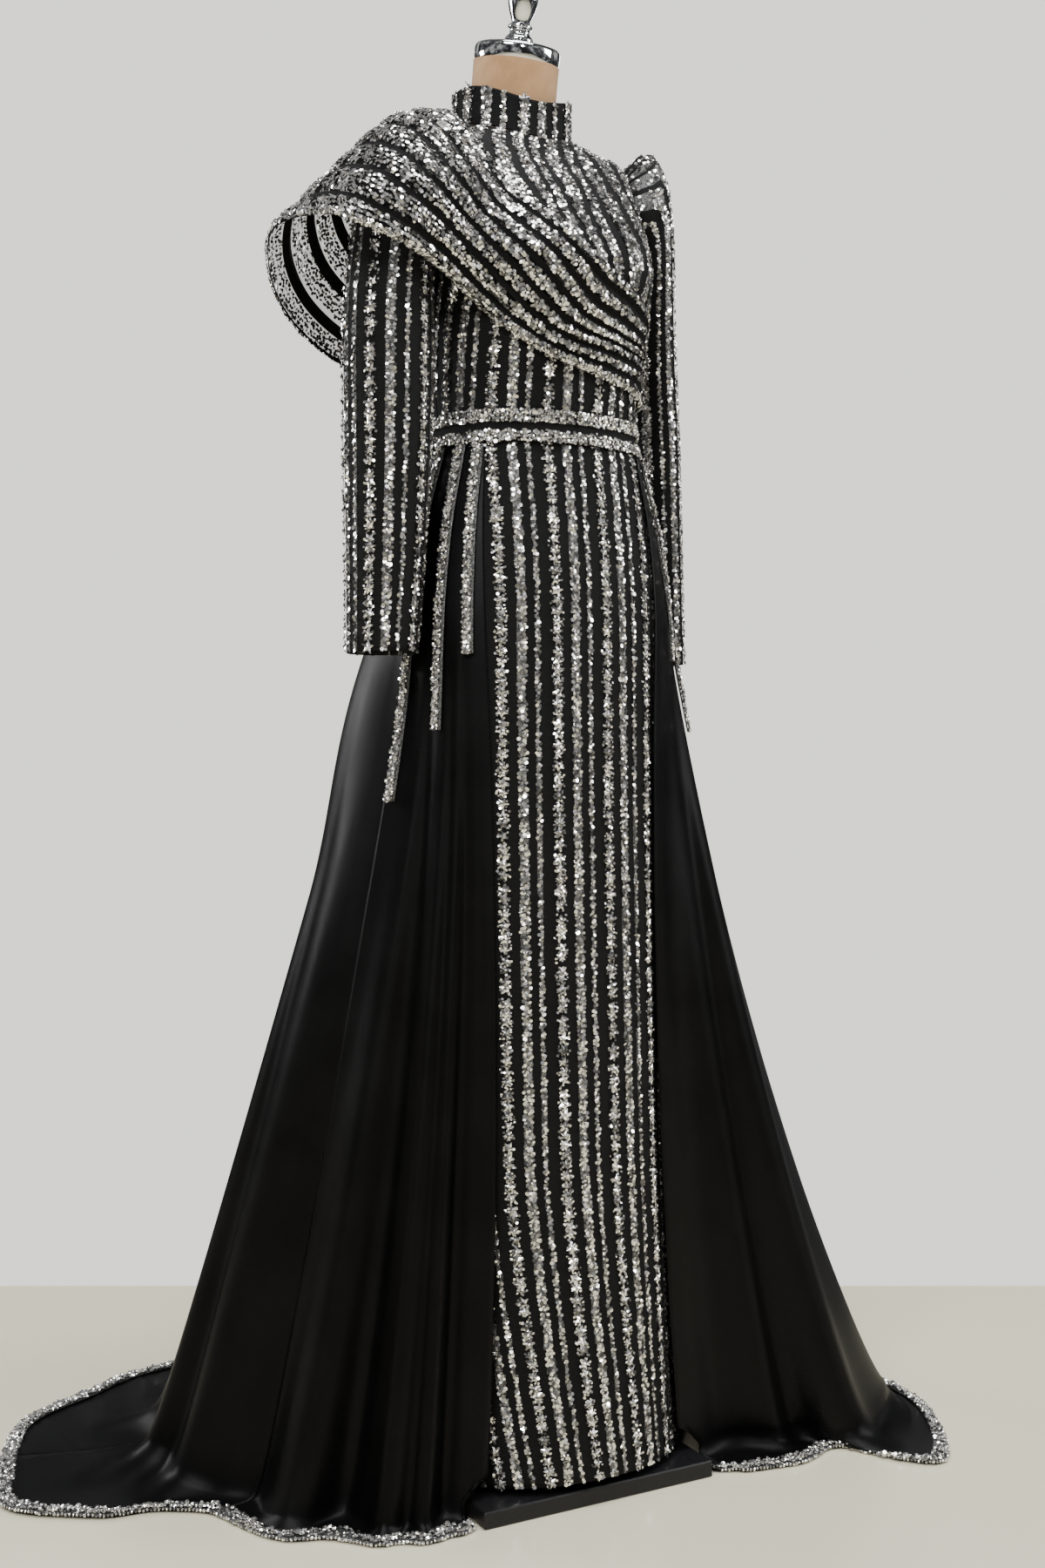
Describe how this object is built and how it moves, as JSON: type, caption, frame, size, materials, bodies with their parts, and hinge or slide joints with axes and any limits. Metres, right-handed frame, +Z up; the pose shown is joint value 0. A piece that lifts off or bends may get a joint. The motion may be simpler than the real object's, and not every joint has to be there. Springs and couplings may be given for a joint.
{
  "type": "evening gown on a dress form",
  "caption": "Floor-length evening gown with striped beading, a pleated shoulder cape, an open-front satin overskirt and a train, on a limbless dress form with a flat base.",
  "frame": {"origin": "centre of the base plate's underside, on the floor", "axes": "+Z up along the pole, -Y is where the wearer faces, +X is the wearer's left"},
  "size_m": [1.0501, 0.7877, 1.6698],
  "materials": {
    "beaded_net": "silver sequins and star beads in stripes on black net",
    "satin": "soft satin",
    "beaded_trim": "dense silver beads",
    "linen": "plain smooth weave",
    "chrome": "polished",
    "black_steel": "satin black"
  },
  "bodies": {
    "root": {"bodice_front": "beaded_net", "bodice_back_left": "beaded_net", "bodice_back_right": "beaded_net", "collar": "beaded_net", "sleeve_left": "beaded_net", "sleeve_right": "beaded_net", "belt": "beaded_net", "skirt_front": "beaded_net", "skirt_back": "beaded_net", "cape_front": "beaded_net", "cape_back": "beaded_net", "overskirt_right_front": "satin", "overskirt_right_side": "satin", "overskirt_back_right": "satin", "overskirt_back_left": "satin", "overskirt_left_side": "satin", "overskirt_left_front": "satin", "hem_trim_right_front": "beaded_trim", "hem_trim_right_side": "beaded_trim", "hem_trim_back_right": "beaded_trim", "hem_trim_back_left": "beaded_trim", "hem_trim_left_side": "beaded_trim", "hem_trim_left_front": "beaded_trim", "ribbon_right_1": "beaded_trim", "ribbon_right_2": "beaded_trim", "ribbon_right_3": "beaded_trim", "ribbon_left_1": "beaded_trim", "ribbon_left_2": "beaded_trim", "ribbon_left_3": "beaded_trim", "form_torso": "linen", "neck_cap": "chrome", "finial": "chrome", "pole": "chrome", "base_plate": "black_steel"}
  },
  "joints": []
}
